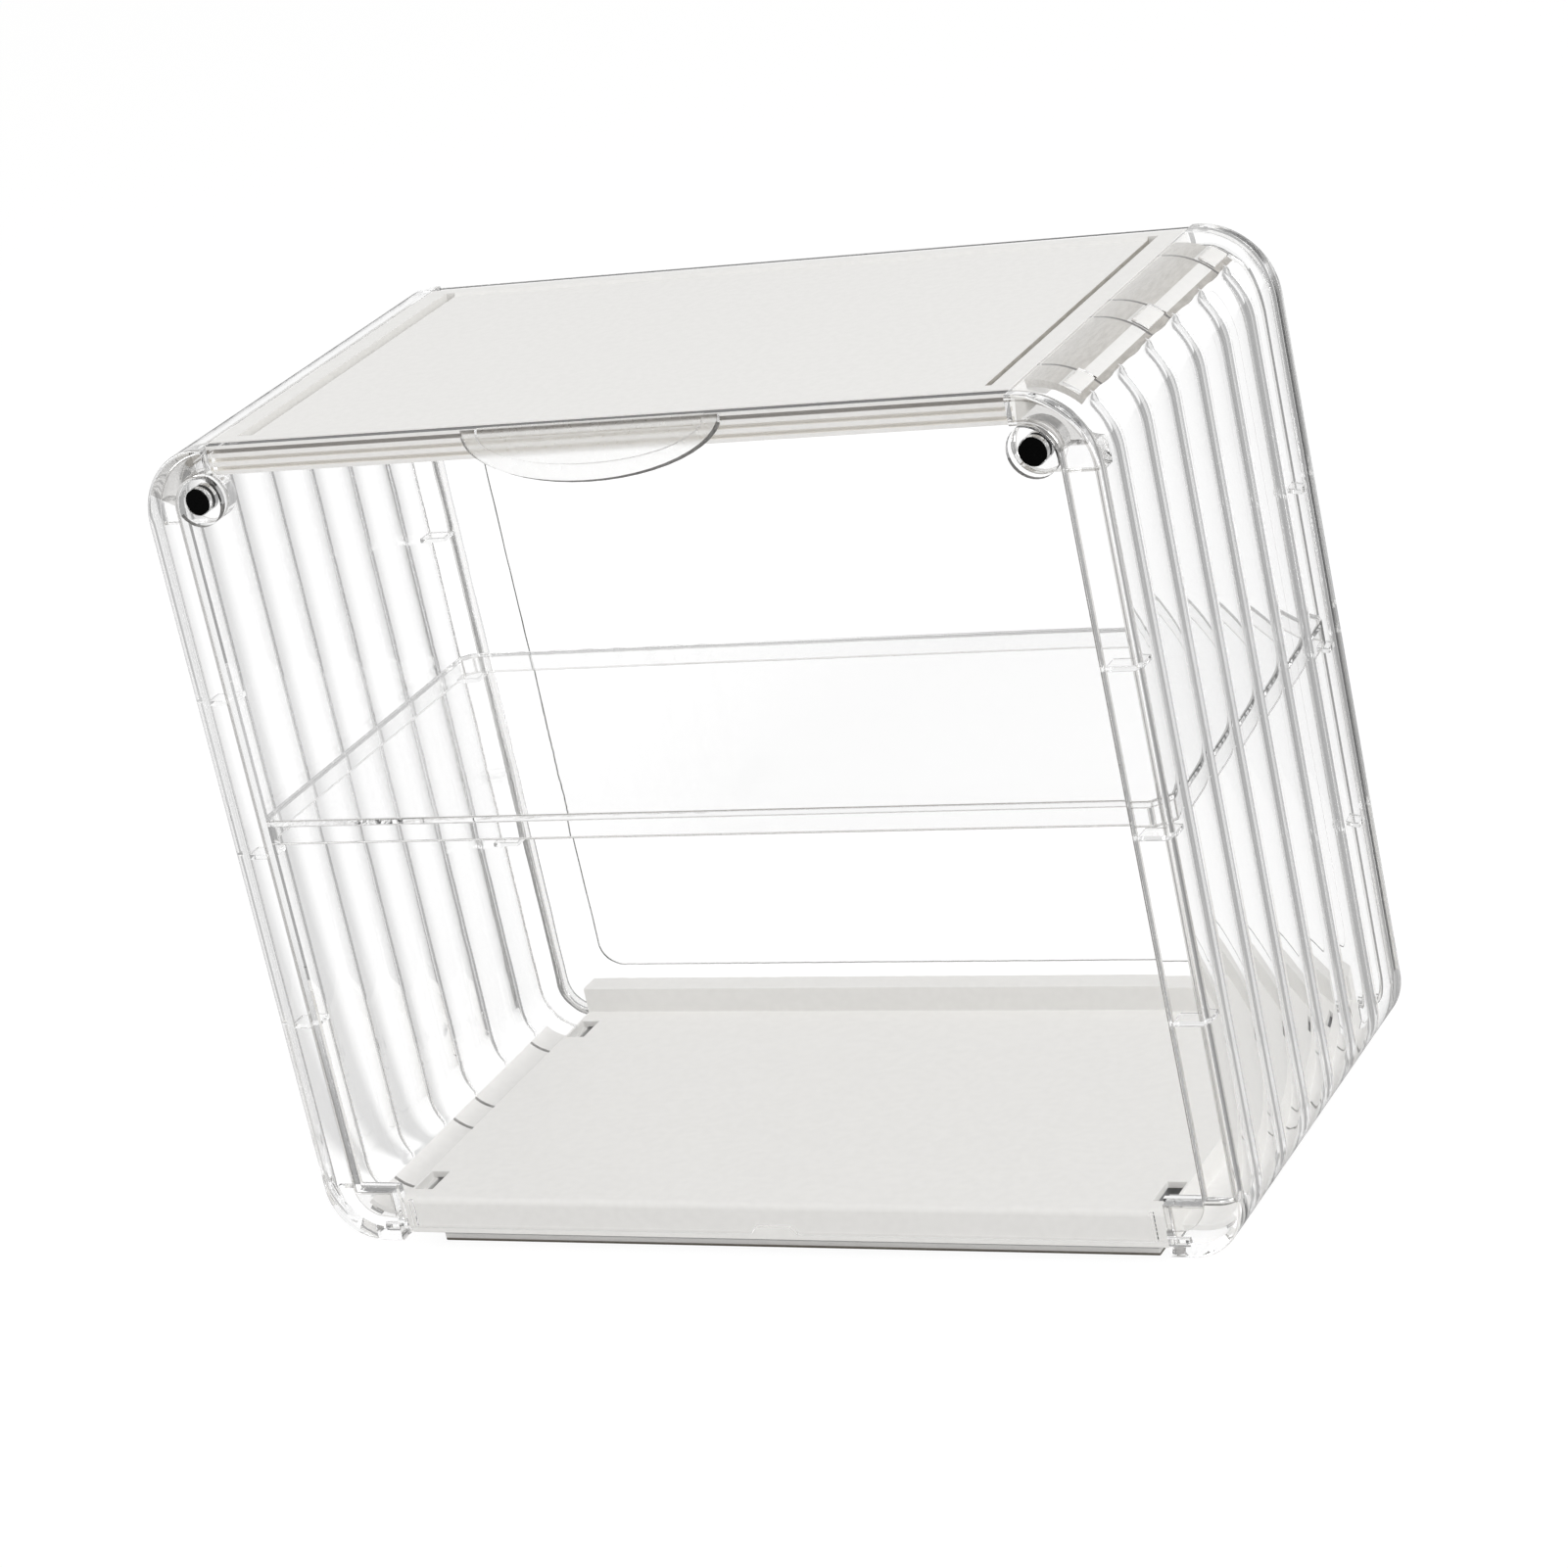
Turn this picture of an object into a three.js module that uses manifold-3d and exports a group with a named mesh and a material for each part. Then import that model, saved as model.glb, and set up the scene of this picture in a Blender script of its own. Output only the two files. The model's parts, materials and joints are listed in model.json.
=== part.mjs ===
import * as THREE from 'three';
import { mergeVertices } from 'three/addons/utils/BufferGeometryUtils.js';
import { ConvexGeometry } from 'three/addons/geometries/ConvexGeometry.js';
import Module from 'manifold-3d';

const wasm = await Module();
wasm.setup();

// Clear drop-front display case, in millimetres. +X right, +Y back, +Z up.
// While the pieces are made, y is 0 at the front of the posts and z is 0 under the foot.

// Case as a whole.
const WIDTH = 310;
const DEPTH = 154;
const HEIGHT = 271;
const GAP = 0.3; // between fixed neighbours
const DOOR_GAP = 0.4; // round the edge of the door and of the back panel
const WELD = 1; // how far features of one piece run into each other

// Clear side panels: C-shaped sheets, plain outside and with hollow upright flutes inside.
const SKIN = 2.2;
const TOP_RADIUS = 23.5;
const BOTTOM_RADIUS = 18;
const LIP_FLAT = 1;
const LIFT = 5.5; // underside above the table
const FLUTES = 7;
const FLUTE_DEPTH = 1.7; // height of the ridges between the flutes
const FLUTE_STEPS = 4;
const CORNER_ANGLES = [0, 13, 26, 40, 47, 53, 65, 78, 90]; // degrees from the lip
const FADE_START = 47; // the flutes run out in the corners
const FADE_END = 53;

// Frames at the front and rear edges of the side panels.
const POST_WIDTH = 11.7;
const POST_DEPTH = 5.6;
const LIP_DEPTH = 9;
const OPENING_RADIUS = 10;
const ARC_STEPS = 8;

// Snap windows in the corners, with the tongues of the top and base in them.
const WINDOW_START = 26;
const WINDOW_END = 40;
const TONGUE = 2;
const TONGUE_SLACK = 2; // degrees between the end of a tongue and the flutes
const CENTRE_TONGUE = [-7, 7]; // spans along the depth, from the middle
const LARGE_TONGUE = [8.2, 47.9];
const OUTER_TONGUE = [49.1, 61];

// Off-white top and base.
const PLATE = 2.4;
const TOP_SKIRT = 10;
const RECESS_DEPTH = 1;
const RECESS_RIM = 7.2; // from the recess to the side edges
const RECESS_END_RIM = 4.2; // from the recess to the front and rear edges
const RECESS_SLOPE = 0.8;
const SIDE_GROOVE_WIDTH = 3.4; // along the left and right edges of the recess
const SIDE_GROOVE_DEPTH = 1.6;
const REED_PITCH = 2.7;
const REED_WIDTH = 1.3;
const REED_DEPTH = 1.6;
const REEDS = 3;
const FLOOR_HEIGHT = 18.2;
const STEP_WIDTH = 8.5;
const STEP_RISE = 8.7;
const FOOT_INSET = 8.2;
const FOOT_END_INSET = 5.2;
const SLOT_WIDTH = 6.5;
const SLOT_LENGTH = 12;
const SLOT_INSET = 4.2; // slot centre from the side edge
const SLOT_END_INSET = 12.7;

// Back panel in its grooves.
const BACK = 2;
const BACK_SETBACK = 2.1; // rear face of the panel from the rear of the case
const GROOVE_DEPTH = 2.5;
const FIELD_MARGIN = 16; // raised field inside the opening
const FIELD_RISE = 0.8;
const FIELD_RADIUS = 8;

// Front door.
const SHEET = 2.6;
const BLOCK_DEPTH = 9;
const BLOCK_HEIGHT = 17;
const HINGE_RISE = 4.1; // hinge line above the underside of the side panels
const STUB_LENGTH = 5;
const BORE_LENGTH = 6;
const PULL_HALF = 42;
const PULL_LENGTH = 16.7;
const PULL_TILT = 30;
const PULL_DROP = 1.6; // root line below the top of the case
const PULL_STEPS = 24;
const NOTCH_HALF = 7.5;
const NOTCH_SLOPE = 1.5;
const NOTCH_HEIGHT = 3;
const TICK_INSET = 5; // upright ribs at the bottom corners of the door
const TICK_WIDTH = 1.2;
const TICK_HEIGHT = 10.7;
const TICK_RISE = 0.8;

// Magnets that hold the door shut.
const MAGNET_DIAMETER = 8;
const MAGNET_LENGTH = 3;
const MAGNET_RECESS = 0.1;
const MAGNET_INSET = 19; // from the side of the case
const MAGNET_DROP = 16.6; // from the top of the case
const BOSS_RADIUS = 8;
const BOSS_FRONT = 0.3;
const LUG_DEPTH = 5.5;
const ROUND_STEPS = 32;

// Shelf and the rests it lies on.
const SHELF_TOP = 146.4;
const SHELF_PLATE = 2.2;
const SHELF_EDGE = 2;
const SHELF_RIM = 8;
const SHELF_FRONT = 10.6;
const SHELF_SIDE_GAP = 0.5;
const SHELF_CHAMFER = 3;
const REST_LENGTH = 10.4;
const REST_THICKNESS = 2.5;
const REST_STEP_UP = 51.4; // from the shelf's rests to the upper ones
const REST_STEP_DOWN = 57.9; // and to the lower ones

// Sizes that follow from the values above.
const HALF = WIDTH / 2;
const MID = DEPTH / 2;
const SEAM = HALF - Math.max(TOP_RADIUS, BOTTOM_RADIUS) - LIP_FLAT;
const JAMB = HALF - POST_WIDTH;
const PANEL_HALF = SEAM - GAP;
const PANEL_FRONT = POST_DEPTH + GAP;
const PANEL_REAR = DEPTH - PANEL_FRONT;
const INSERT_HALF = SEAM - DOOR_GAP;
const TOP_CORNER = { x: HALF - TOP_RADIUS, z: HEIGHT - TOP_RADIUS, radius: TOP_RADIUS, up: 1 };
const BOTTOM_CORNER = { x: HALF - BOTTOM_RADIUS, z: LIFT + BOTTOM_RADIUS, radius: BOTTOM_RADIUS, up: -1 };
const SHEET_FRONT = POST_DEPTH - SHEET;
const HINGE = { y: POST_DEPTH - SHEET / 2, z: LIFT + HINGE_RISE };
const PIN_RADIUS = SHEET / 2;
const MAGNET = { x: HALF - MAGNET_INSET, z: HEIGHT - MAGNET_DROP };
const POCKET_RADIUS = MAGNET_DIAMETER / 2 + GAP;
const POCKET_DEPTH = MAGNET_RECESS + MAGNET_LENGTH + GAP;
const LUG_REAR = PANEL_FRONT + LUG_DEPTH;
const BACK_REAR = DEPTH - BACK_SETBACK;
const BACK_FRONT = BACK_REAR - BACK;
const REST_TOP = SHELF_TOP - SHELF_RIM - GAP;
const TONGUE_END = FADE_START - TONGUE_SLACK;

function solid(geometry) {
  geometry.deleteAttribute('normal');
  geometry.deleteAttribute('uv');
  const merged = mergeVertices(geometry);
  const mesh = new wasm.Mesh({
    numProp: 3,
    vertProperties: new Float32Array(merged.getAttribute('position').array),
    triVerts: new Uint32Array(merged.getIndex().array),
  });
  return new wasm.Manifold(mesh);
}

function toGeometry(body) {
  const mesh = body.getMesh();
  const geometry = new THREE.BufferGeometry();
  geometry.setAttribute('position', new THREE.Float32BufferAttribute(mesh.vertProperties, 3));
  geometry.setIndex(new THREE.Uint32BufferAttribute(mesh.triVerts, 1));
  return geometry;
}

function mirrored(geometry) {
  const copy = geometry.clone();
  copy.scale(-1, 1, 1);
  copy.getIndex().array.reverse();
  return copy;
}

function block([x0, x1], [y0, y1], [z0, z1]) {
  const geometry = new THREE.BoxGeometry(x1 - x0, y1 - y0, z1 - z0);
  geometry.translate((x0 + x1) / 2, (y0 + y1) / 2, (z0 + z1) / 2);
  return solid(geometry);
}

function extrusion(points, depth) {
  return new THREE.ExtrudeGeometry(new THREE.Shape(points), { depth, bevelEnabled: false });
}

// Outline drawn in x and z, with thickness from y0 to y1.
function slab(points, [y0, y1]) {
  const geometry = extrusion(points, y1 - y0);
  geometry.rotateX(Math.PI / 2);
  geometry.translate(0, y1, 0);
  return solid(geometry);
}

function discAlongY({ x, z }, radius, [y0, y1]) {
  const geometry = new THREE.CylinderGeometry(radius, radius, y1 - y0, ROUND_STEPS);
  geometry.translate(x, (y0 + y1) / 2, z);
  return solid(geometry);
}

function rodAlongX({ y, z }, radius, [x0, x1]) {
  const geometry = new THREE.CylinderGeometry(radius, radius, x1 - x0, ROUND_STEPS);
  geometry.rotateZ(Math.PI / 2);
  geometry.translate((x0 + x1) / 2, y, z);
  return solid(geometry);
}

// Point in a rounded corner of the side profile, at an angle from the lip.
function cornerPoint(corner, radius, degrees) {
  const angle = THREE.MathUtils.degToRad(degrees);
  const x = corner.x + radius * Math.sin(angle);
  const z = corner.z + corner.up * radius * Math.cos(angle);
  return new THREE.Vector2(x, z);
}

function cornerArc(corner, radius, from, to) {
  const points = [];
  for (let step = 0; step <= ARC_STEPS; step += 1) {
    points.push(cornerPoint(corner, radius, from + ((to - from) * step) / ARC_STEPS));
  }
  return points;
}

function flip(points) {
  return points.map((point) => new THREE.Vector2(-point.x, point.y)).reverse();
}

// Side profile from the top lip round to the bottom lip, a given distance inside the outer face.
function sideOutline(inset) {
  return [
    new THREE.Vector2(SEAM, HEIGHT - inset),
    ...cornerArc(TOP_CORNER, TOP_RADIUS - inset, 0, 90),
    ...cornerArc(BOTTOM_CORNER, BOTTOM_RADIUS - inset, 90, 0),
    new THREE.Vector2(SEAM, LIFT + inset),
  ];
}

// Rounded opening framed by the posts of both side panels, grown by a given margin.
function openingOutline(grow, radius = OPENING_RADIUS + grow) {
  const low = LIFT + LIP_DEPTH - grow + radius;
  const high = HEIGHT - LIP_DEPTH + grow - radius;
  const x = JAMB + grow - radius;
  const right = [
    ...cornerArc({ x, z: high, up: 1 }, radius, 0, 90),
    ...cornerArc({ x, z: low, up: -1 }, radius, 90, 0),
  ];
  return [...right, ...flip(right)];
}

// Station on the side profile: place on the outer face, outward direction, share of the ridge height.
function cornerStation(corner, degrees) {
  const place = cornerPoint(corner, corner.radius, degrees);
  const outward = place.clone().sub(new THREE.Vector2(corner.x, corner.z)).normalize();
  return { place, outward, share: THREE.MathUtils.smoothstep(degrees, FADE_START, FADE_END) };
}

function lipStation(corner) {
  const station = cornerStation(corner, 0);
  station.place.x = SEAM;
  return station;
}

function profileStations() {
  const top = CORNER_ANGLES.map((degrees) => cornerStation(TOP_CORNER, degrees));
  const bottom = CORNER_ANGLES.map((degrees) => cornerStation(BOTTOM_CORNER, degrees));
  return [lipStation(TOP_CORNER), ...top, ...bottom.reverse(), lipStation(BOTTOM_CORNER)];
}

// Fluted sheet: a plain outer and a ridged inner grid of points, joined along their edges.
function flutedSheet() {
  const stations = profileStations();
  const columns = FLUTES * FLUTE_STEPS + 1;
  const innerStart = stations.length * columns;
  const outer = [];
  const inner = [];
  stations.forEach(({ place, outward, share }) => {
    for (let column = 0; column < columns; column += 1) {
      const across = (2 * (column % FLUTE_STEPS)) / FLUTE_STEPS - 1;
      const thickness = SKIN + share * FLUTE_DEPTH * across * across;
      const y = (DEPTH * column) / (columns - 1);
      outer.push(place.x, y, place.y);
      inner.push(place.x - outward.x * thickness, y, place.y - outward.y * thickness);
    }
  });

  const index = [];
  const quad = (a, b, c, d) => index.push(a, b, c, a, c, d);
  const outerAt = (row, column) => row * columns + column;
  const innerAt = (row, column) => innerStart + outerAt(row, column);
  const lastRow = stations.length - 1;
  const lastColumn = columns - 1;
  for (let row = 0; row < lastRow; row += 1) {
    for (let column = 0; column < lastColumn; column += 1) {
      quad(outerAt(row, column), outerAt(row + 1, column),
        outerAt(row + 1, column + 1), outerAt(row, column + 1));
      quad(innerAt(row, column), innerAt(row, column + 1),
        innerAt(row + 1, column + 1), innerAt(row + 1, column));
    }
    quad(outerAt(row, 0), innerAt(row, 0), innerAt(row + 1, 0), outerAt(row + 1, 0));
    quad(outerAt(row, lastColumn), outerAt(row + 1, lastColumn),
      innerAt(row + 1, lastColumn), innerAt(row, lastColumn));
  }
  for (let column = 0; column < lastColumn; column += 1) {
    quad(outerAt(0, column), outerAt(0, column + 1), innerAt(0, column + 1), innerAt(0, column));
    quad(outerAt(lastRow, column), innerAt(lastRow, column),
      innerAt(lastRow, column + 1), outerAt(lastRow, column + 1));
  }

  const geometry = new THREE.BufferGeometry();
  geometry.setAttribute('position', new THREE.Float32BufferAttribute([...outer, ...inner], 3));
  geometry.setIndex(index);
  return solid(geometry);
}

// Filled side profile, its edge buried in the fluted sheet.
function sideSlab(span) {
  return slab(sideOutline(SKIN / 2), span);
}

function post(span) {
  return sideSlab(span).subtract(slab(openingOutline(0), [span[0] - WELD, span[1] + WELD]));
}

function hingeBlock() {
  const reach = block([0, HALF], [0, BLOCK_DEPTH], [0, LIFT + BLOCK_HEIGHT]);
  return sideSlab([0, BLOCK_DEPTH]).intersect(reach);
}

function magnetLug() {
  const web = block(
    [MAGNET.x, TOP_CORNER.x + TOP_RADIUS - SKIN + WELD / 2],
    [POST_DEPTH - WELD, LUG_REAR],
    [MAGNET.z - BOSS_RADIUS, MAGNET.z],
  );
  const doorway = slab(openingOutline(0), [0, PANEL_FRONT]);
  const pocket = discAlongY(MAGNET, POCKET_RADIUS, [0, PANEL_FRONT + POCKET_DEPTH]);
  const lug = discAlongY(MAGNET, BOSS_RADIUS, [PANEL_FRONT, LUG_REAR]);
  return web.add(lug).subtract(doorway).subtract(pocket);
}

function shelfRest(top, span) {
  return block([JAMB, HALF - SKIN / 2], span, [top - REST_THICKNESS, top]);
}

function shelfRests() {
  const front = [POST_DEPTH - WELD, POST_DEPTH + REST_LENGTH];
  const rear = [DEPTH - front[1], DEPTH - front[0]];
  const tops = [REST_TOP + REST_STEP_UP, REST_TOP, REST_TOP - REST_STEP_DOWN];
  const rests = tops.map((top) => shelfRest(top, front).add(shelfRest(top, rear)));
  return rests.reduce((all, rest) => all.add(rest));
}

// Piece of the corner between two radii, two angles and two depths.
function cornerSector(corner, [inner, outer], [from, to], span) {
  const points = [...cornerArc(corner, outer, from, to), ...cornerArc(corner, inner, to, from)];
  return slab(points, span);
}

function fromMiddle([from, to]) {
  return [MID + from, MID + to];
}

function opposite([from, to]) {
  return [-to, -from];
}

function smallSpans() {
  return [CENTRE_TONGUE, OUTER_TONGUE, opposite(OUTER_TONGUE)].map(fromMiddle);
}

function largeSpans() {
  return [LARGE_TONGUE, opposite(LARGE_TONGUE)].map(fromMiddle);
}

function snapWindows(corner) {
  const radii = [corner.radius - SKIN - WELD, corner.radius + WELD];
  const angles = [WINDOW_START, WINDOW_END];
  const windows = smallSpans().map((span) => cornerSector(corner, radii, angles, span));
  return windows.reduce((all, opening) => all.add(opening));
}

function sidePanel() {
  const groove = slab(openingOutline(GROOVE_DEPTH), [BACK_FRONT - GAP, BACK_REAR + GAP]);
  const hingeBore = rodAlongX(HINGE, PIN_RADIUS + GAP, [SEAM - WELD, SEAM + BORE_LENGTH]);
  return flutedSheet()
    .add(post([0, POST_DEPTH]))
    .add(post([DEPTH - POST_DEPTH, DEPTH]).subtract(groove))
    .add(hingeBlock())
    .add(magnetLug())
    .add(shelfRests())
    .subtract(hingeBore)
    .subtract(snapWindows(TOP_CORNER))
    .subtract(snapWindows(BOTTOM_CORNER));
}

// Tongue that slips under the lip of the side panel.
function tongue(corner, span) {
  const outer = corner.radius - SKIN - GAP;
  const inner = outer - TONGUE;
  const root = PANEL_HALF - PLATE;
  const points = [
    new THREE.Vector2(root, corner.z + corner.up * outer),
    ...cornerArc(corner, outer, 0, TONGUE_END),
    ...cornerArc(corner, inner, TONGUE_END, 0),
    new THREE.Vector2(root, corner.z + corner.up * inner),
  ];
  return slab(points, span);
}

// Raised snap that fills a window of the side panel.
function snap(corner, span) {
  const slack = THREE.MathUtils.radToDeg(GAP / (corner.radius - SKIN));
  const radii = [corner.radius - SKIN - GAP - TONGUE / 2, corner.radius - GAP];
  const angles = [WINDOW_START + slack, WINDOW_END - slack];
  return cornerSector(corner, radii, angles, [span[0] + GAP, span[1] - GAP]);
}

function tongues(corner) {
  const large = largeSpans().map((span) => tongue(corner, span));
  const small = smallSpans().map((span) => tongue(corner, span).add(snap(corner, span)));
  return [...large, ...small].reduce((all, part) => all.add(part));
}

function bothSides(body) {
  return body.add(solid(mirrored(toGeometry(body))));
}

// Pocket with slightly sloping walls that takes the foot of another case.
function stackingRecess() {
  const points = [];
  const level = (inset, z) => {
    const x = PANEL_HALF - RECESS_RIM - inset;
    const front = PANEL_FRONT + RECESS_END_RIM + inset;
    const rear = PANEL_REAR - RECESS_END_RIM - inset;
    [-x, x].forEach((side) => {
      points.push(new THREE.Vector3(side, front, z));
      points.push(new THREE.Vector3(side, rear, z));
    });
  };
  const overshoot = RECESS_SLOPE / RECESS_DEPTH;
  level(RECESS_SLOPE, HEIGHT - RECESS_DEPTH);
  level(-overshoot * WELD, HEIGHT + WELD);
  return solid(new ConvexGeometry(points));
}

// Groove along the right edge of the recess.
function sideGroove() {
  const far = PANEL_HALF - RECESS_RIM;
  const level = HEIGHT - RECESS_DEPTH;
  return block(
    [far - SIDE_GROOVE_WIDTH, far],
    [PANEL_FRONT + RECESS_END_RIM, PANEL_REAR - RECESS_END_RIM],
    [level - SIDE_GROOVE_DEPTH, HEIGHT + WELD],
  );
}

function railReeds() {
  const reeds = [];
  for (let reed = 1; reed <= REEDS; reed += 1) {
    const z = HEIGHT - reed * REED_PITCH;
    const height = [z - REED_WIDTH / 2, z + REED_WIDTH / 2];
    reeds.push(block([-HALF, HALF], [0, PANEL_FRONT + REED_DEPTH], height));
  }
  return reeds.reduce((all, reed) => all.add(reed));
}

function topPanel() {
  const body = block([-PANEL_HALF, PANEL_HALF], [PANEL_FRONT, PANEL_REAR], [HEIGHT - TOP_SKIRT, HEIGHT]);
  const hollow = block(
    [-PANEL_HALF + PLATE, PANEL_HALF - PLATE],
    [PANEL_FRONT + PLATE, PANEL_REAR - PLATE],
    [HEIGHT - TOP_SKIRT - WELD, HEIGHT - RECESS_DEPTH - PLATE],
  );
  return body
    .subtract(hollow)
    .subtract(stackingRecess())
    .subtract(bothSides(sideGroove()))
    .subtract(railReeds())
    .add(bothSides(tongues(TOP_CORNER)));
}

function foot() {
  const half = PANEL_HALF - FOOT_INSET;
  const front = PANEL_FRONT + FOOT_END_INSET;
  const rear = PANEL_REAR - FOOT_END_INSET;
  const ring = block([-half, half], [front, rear], [0, FLOOR_HEIGHT - PLATE / 2]);
  const inside = block(
    [-half + PLATE, half - PLATE],
    [front + PLATE, rear - PLATE],
    [-WELD, FLOOR_HEIGHT - PLATE],
  );
  return ring.subtract(inside);
}

function floorSlots() {
  const x = PANEL_HALF - SLOT_INSET;
  const rows = [PANEL_FRONT + SLOT_END_INSET, PANEL_REAR - STEP_WIDTH - SLOT_END_INSET];
  const slots = rows.map((y) => block(
    [x - SLOT_WIDTH / 2, x + SLOT_WIDTH / 2],
    [y - SLOT_LENGTH / 2, y + SLOT_LENGTH / 2],
    [FLOOR_HEIGHT - PLATE - GAP, FLOOR_HEIGHT + WELD],
  ));
  return slots.reduce((all, slot) => all.add(slot));
}

function basePanel() {
  const across = [-PANEL_HALF, PANEL_HALF];
  const inside = [-PANEL_HALF + PLATE, PANEL_HALF - PLATE];
  const stepFront = PANEL_REAR - STEP_WIDTH;
  const stepTop = FLOOR_HEIGHT + STEP_RISE;
  const tray = block(across, [PANEL_FRONT, PANEL_REAR], [LIFT, FLOOR_HEIGHT]);
  const step = block(across, [stepFront, PANEL_REAR], [LIFT, stepTop]);
  const hollow = block(inside, [PANEL_FRONT + PLATE, PANEL_REAR - PLATE], [0, FLOOR_HEIGHT - PLATE]);
  const stepHollow = block(inside, [stepFront + PLATE, PANEL_REAR - PLATE], [0, stepTop - PLATE]);
  return tray
    .add(step)
    .subtract(hollow)
    .subtract(stepHollow)
    .subtract(bothSides(floorSlots()))
    .add(foot())
    .add(bothSides(tongues(BOTTOM_CORNER)));
}

function backPanel() {
  const sheet = slab(openingOutline(GROOVE_DEPTH - DOOR_GAP), [BACK_FRONT, BACK_REAR]);
  const middle = block([-INSERT_HALF, INSERT_HALF], [BACK_FRONT, BACK_REAR], [LIFT + GAP, HEIGHT - GAP]);
  const fieldSpan = [BACK_REAR - BACK / 2, BACK_REAR + FIELD_RISE];
  const field = slab(openingOutline(-FIELD_MARGIN, FIELD_RADIUS), fieldSpan);
  return sheet.add(middle).add(field);
}

// Door sheet: wide above the hinge blocks, narrow between them, round along the hinge line.
function doorSheet() {
  const span = [SHEET_FRONT, POST_DEPTH];
  const swing = Math.hypot(HINGE.y, LIFT + BLOCK_HEIGHT - HINGE.z);
  const shoulder = HINGE.z + swing + DOOR_GAP;
  const upper = block([-HALF, HALF], span, [shoulder, HEIGHT]);
  const wide = slab(openingOutline(-DOOR_GAP), span).intersect(upper);
  const middle = block([-INSERT_HALF, INSERT_HALF], span, [HINGE.z, HEIGHT - GAP]);
  return wide.add(middle).add(rodAlongX(HINGE, PIN_RADIUS, [-INSERT_HALF, INSERT_HALF]));
}

function hingeStub() {
  return rodAlongX(HINGE, PIN_RADIUS, [INSERT_HALF - WELD, INSERT_HALF + STUB_LENGTH]);
}

function doorBoss() {
  const span = [BOSS_FRONT, POST_DEPTH];
  return discAlongY(MAGNET, BOSS_RADIUS, span).intersect(slab(openingOutline(-DOOR_GAP), span));
}

function doorTick() {
  const x = INSERT_HALF - TICK_INSET;
  const high = HINGE.z - PIN_RADIUS + TICK_HEIGHT;
  return block([x, x + TICK_WIDTH], [SHEET_FRONT - TICK_RISE, POST_DEPTH - WELD], [HINGE.z, high]);
}

function edgeNotch() {
  const low = HINGE.z - PIN_RADIUS;
  const points = [
    new THREE.Vector2(-NOTCH_HALF - NOTCH_SLOPE, low - WELD),
    new THREE.Vector2(NOTCH_HALF + NOTCH_SLOPE, low - WELD),
    new THREE.Vector2(NOTCH_HALF - NOTCH_SLOPE, low + NOTCH_HEIGHT),
    new THREE.Vector2(-NOTCH_HALF + NOTCH_SLOPE, low + NOTCH_HEIGHT),
  ];
  return slab(points, [0, PANEL_FRONT]);
}

// Half-moon finger pull that leans forward and down from the top edge of the door.
function fingerPull() {
  const points = [];
  for (let step = 0; step <= PULL_STEPS; step += 1) {
    const angle = (Math.PI * step) / PULL_STEPS;
    points.push(new THREE.Vector2(PULL_HALF * Math.cos(angle), -PULL_LENGTH * Math.sin(angle)));
  }
  const geometry = extrusion(points, SHEET);
  geometry.rotateX(Math.PI / 2 - THREE.MathUtils.degToRad(PULL_TILT));
  geometry.translate(0, HINGE.y, HEIGHT - PULL_DROP);
  return solid(geometry);
}

function frontDoor() {
  const pocket = discAlongY(MAGNET, POCKET_RADIUS, [0, BOSS_FRONT + POCKET_DEPTH]);
  const right = doorBoss().add(hingeStub()).add(doorTick());
  return doorSheet()
    .add(bothSides(right))
    .add(fingerPull())
    .subtract(bothSides(pocket))
    .subtract(edgeNotch());
}

function magnet(front) {
  const start = front + MAGNET_RECESS;
  return discAlongY(MAGNET, MAGNET_DIAMETER / 2, [start, start + MAGNET_LENGTH]);
}

// Rectangle in x and y with cut corners, with height from z0 to z1.
function chamferedBlock(half, [y0, y1], chamfer, [z0, z1]) {
  const points = [];
  [z0, z1].forEach((z) => {
    [-1, 1].forEach((side) => {
      points.push(new THREE.Vector3(side * half, y0 + chamfer, z));
      points.push(new THREE.Vector3(side * (half - chamfer), y0, z));
      points.push(new THREE.Vector3(side * half, y1 - chamfer, z));
      points.push(new THREE.Vector3(side * (half - chamfer), y1, z));
    });
  });
  return solid(new ConvexGeometry(points));
}

function shelf() {
  const half = HALF - FLUTE_DEPTH - SKIN - SHELF_SIDE_GAP;
  const low = SHELF_TOP - SHELF_RIM;
  const tray = chamferedBlock(half, [SHELF_FRONT, PANEL_REAR], SHELF_CHAMFER, [low, SHELF_TOP]);
  const hollow = chamferedBlock(
    half - SHELF_EDGE,
    [SHELF_FRONT + SHELF_EDGE, PANEL_REAR - SHELF_EDGE],
    SHELF_CHAMFER,
    [low - WELD, SHELF_TOP - SHELF_PLATE],
  );
  return tray.subtract(hollow);
}

const clear = () => new THREE.MeshStandardMaterial({ color: 0xeef2f2, roughness: 0.05, metalness: 0 });
const offWhite = () => new THREE.MeshStandardMaterial({ color: 0xe9e7e4, roughness: 0.45, metalness: 0 });
const black = () => new THREE.MeshStandardMaterial({ color: 0x101012, roughness: 0.35, metalness: 0.2 });

const group = new THREE.Group();

function addPiece(name, geometry, material) {
  const mesh = new THREE.Mesh(geometry, material);
  mesh.name = name;
  group.add(mesh);
}

function addPair(name, geometry, material) {
  addPiece(`left_${name}`, mirrored(geometry), material());
  addPiece(`right_${name}`, geometry, material());
}

addPiece('base_panel', toGeometry(basePanel()), offWhite());
addPiece('top_panel', toGeometry(topPanel()), offWhite());
addPair('side_panel', toGeometry(sidePanel()), clear);
addPiece('back_panel', toGeometry(backPanel()), clear());
addPiece('front_door', toGeometry(frontDoor()), clear());
addPiece('shelf', toGeometry(shelf()), clear());
addPair('frame_magnet', toGeometry(magnet(PANEL_FRONT)), black);
addPair('door_magnet', toGeometry(magnet(BOSS_FRONT)), black);

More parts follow.
